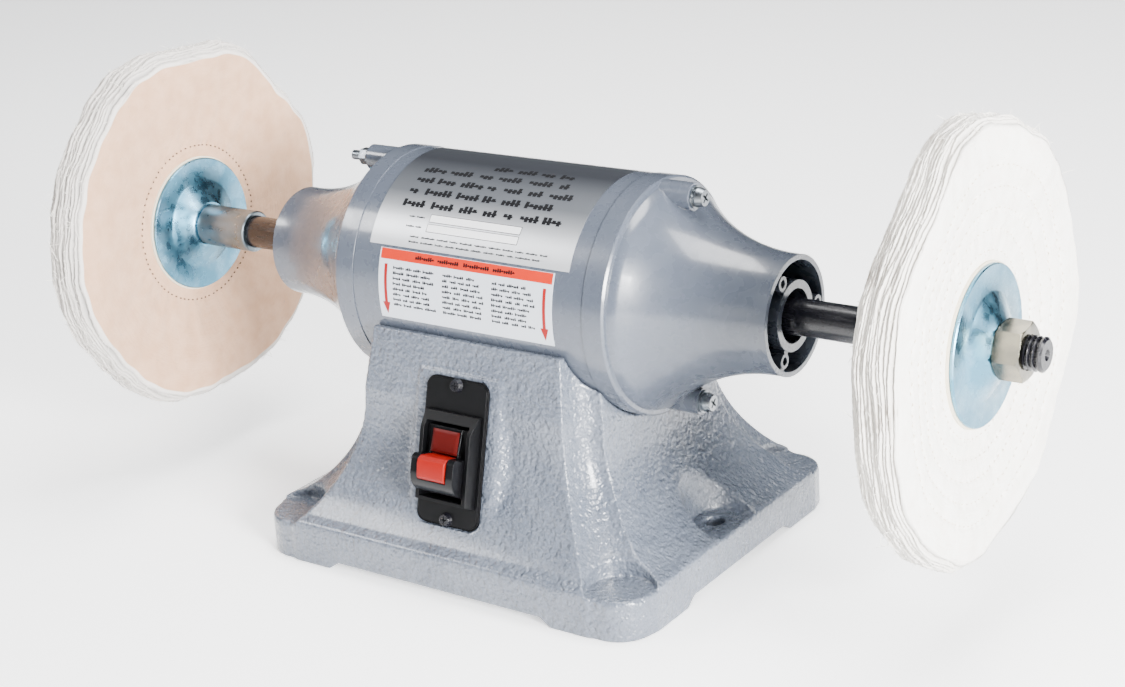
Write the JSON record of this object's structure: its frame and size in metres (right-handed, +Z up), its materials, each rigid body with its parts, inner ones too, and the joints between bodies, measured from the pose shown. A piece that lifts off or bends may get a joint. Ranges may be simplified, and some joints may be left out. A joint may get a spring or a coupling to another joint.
{
  "type": "bench buffer",
  "caption": "Bench buffer: a cast pedestal carries an electric motor whose long spindle turns a cloth buffing wheel at each end, with a paddle switch and a red lock key in front.",
  "frame": {"origin": "middle of the base on the bench, below the middle of the motor", "axes": "+X along the spindle towards the wheel shown nearest, +Y from the switch side to the back, +Z up"},
  "size_m": [0.541, 0.2032, 0.2376],
  "materials": {
    "base_paint": "light grey textured paint",
    "motor_paint": "light grey semi-gloss paint",
    "cover_steel": "plain sheet steel",
    "screw_steel": "zinc plated",
    "lamination": "varnished electrical steel",
    "winding": "varnished copper wire",
    "bearing_steel": "ground and polished",
    "spring_steel": "spring steel",
    "label_silver": "printed foil, no lettering",
    "label_white": "printed film, no lettering",
    "black_plastic": "moulded",
    "terminal_brass": "stamped",
    "capacitor_can": "drawn can",
    "clamp_steel": "zinc plated strip",
    "ground_green": "green zinc",
    "lead_sleeve": "insulated wire",
    "shaft_steel": "black oxide",
    "rotor_aluminium": "die cast",
    "sleeve_steel": "turned, zinc plated",
    "flange_zinc": "blue passivated zinc",
    "fibre": "pressed fibre",
    "cloth_peach": "loose cotton plies",
    "cloth_white": "spiral sewn cotton plies",
    "nut_steel": "clear zinc",
    "cage_brass": "pressed",
    "rocker_plastic": "moulded",
    "key_red": "moulded"
  },
  "bodies": {
    "machine": {"base_casting": "base_paint", "bottom_cover": "cover_steel", "bottom_cover_screws": "screw_steel", "motor_mount_bolts": "screw_steel", "motor_barrel": "motor_paint", "bell_left": "motor_paint", "bell_right": "motor_paint", "stator_core": "lamination", "stator_winding": "winding", "bearing_outer_left": "bearing_steel", "bearing_outer_right": "bearing_steel", "wave_washer": "spring_steel", "through_bolts": "screw_steel", "through_bolt_washers": "screw_steel", "through_bolt_nuts": "screw_steel", "data_plate": "label_silver", "info_label": "label_white", "switch_plate": "black_plastic", "switch_housing": "black_plastic", "switch_screws": "screw_steel", "switch_terminals": "terminal_brass", "run_capacitor": "capacitor_can", "capacitor_clamp": "clamp_steel", "clamp_screw": "screw_steel", "ground_screw": "ground_green", "cord_grommet": "black_plastic", "motor_leads": "lead_sleeve"},
    "spindle": {"shaft": "shaft_steel", "rotor_core": "lamination", "rotor_end_rings": "rotor_aluminium", "bearing_inner_left": "bearing_steel", "bearing_inner_right": "bearing_steel", "sleeve_left": "sleeve_steel", "sleeve_right": "sleeve_steel", "inner_flange_left": "flange_zinc", "inner_flange_right": "flange_zinc", "hub_pads_left": "fibre", "hub_pads_right": "fibre", "wheel_left": "cloth_peach", "wheel_right": "cloth_white", "outer_flange_left": "flange_zinc", "outer_flange_right": "flange_zinc", "nut_left": "nut_steel", "nut_right": "nut_steel"},
    "cage_left": {"bearing_balls_left": "bearing_steel", "bearing_cage_left": "cage_brass"},
    "cage_right": {"bearing_balls_right": "bearing_steel", "bearing_cage_right": "cage_brass"},
    "rocker": {"rocker": "rocker_plastic"},
    "key": {"lock_key": "key_red"}
  },
  "joints": [
    {"name": "spindle_spin", "type": "hinge", "parent": "machine", "child": "spindle", "pos_m": [0, 0, 0.136], "axis": [1, 0, 0], "continuous": true},
    {"name": "cage_spin_left", "type": "hinge", "parent": "machine", "child": "cage_left", "pos_m": [-0.113, 0, 0.136], "axis": [1, 0, 0], "continuous": true},
    {"name": "cage_spin_right", "type": "hinge", "parent": "machine", "child": "cage_right", "pos_m": [0.113, 0, 0.136], "axis": [1, 0, 0], "continuous": true},
    {"name": "rocker_tilt", "type": "hinge", "parent": "machine", "child": "rocker", "pos_m": [0, -0.07615, 0.06409], "axis": [1, 0, 0], "range_deg": [0, 22]},
    {"name": "key_pull", "type": "slide", "parent": "rocker", "child": "key", "axis": [0, -0.9664, 0.2571], "range_m": [0, 0.016]}
  ],
  "couplings": [
    {"joint": "cage_spin_left", "follows": "spindle_spin", "ratio": 0.3815},
    {"joint": "cage_spin_right", "follows": "spindle_spin", "ratio": 0.3815}
  ]
}
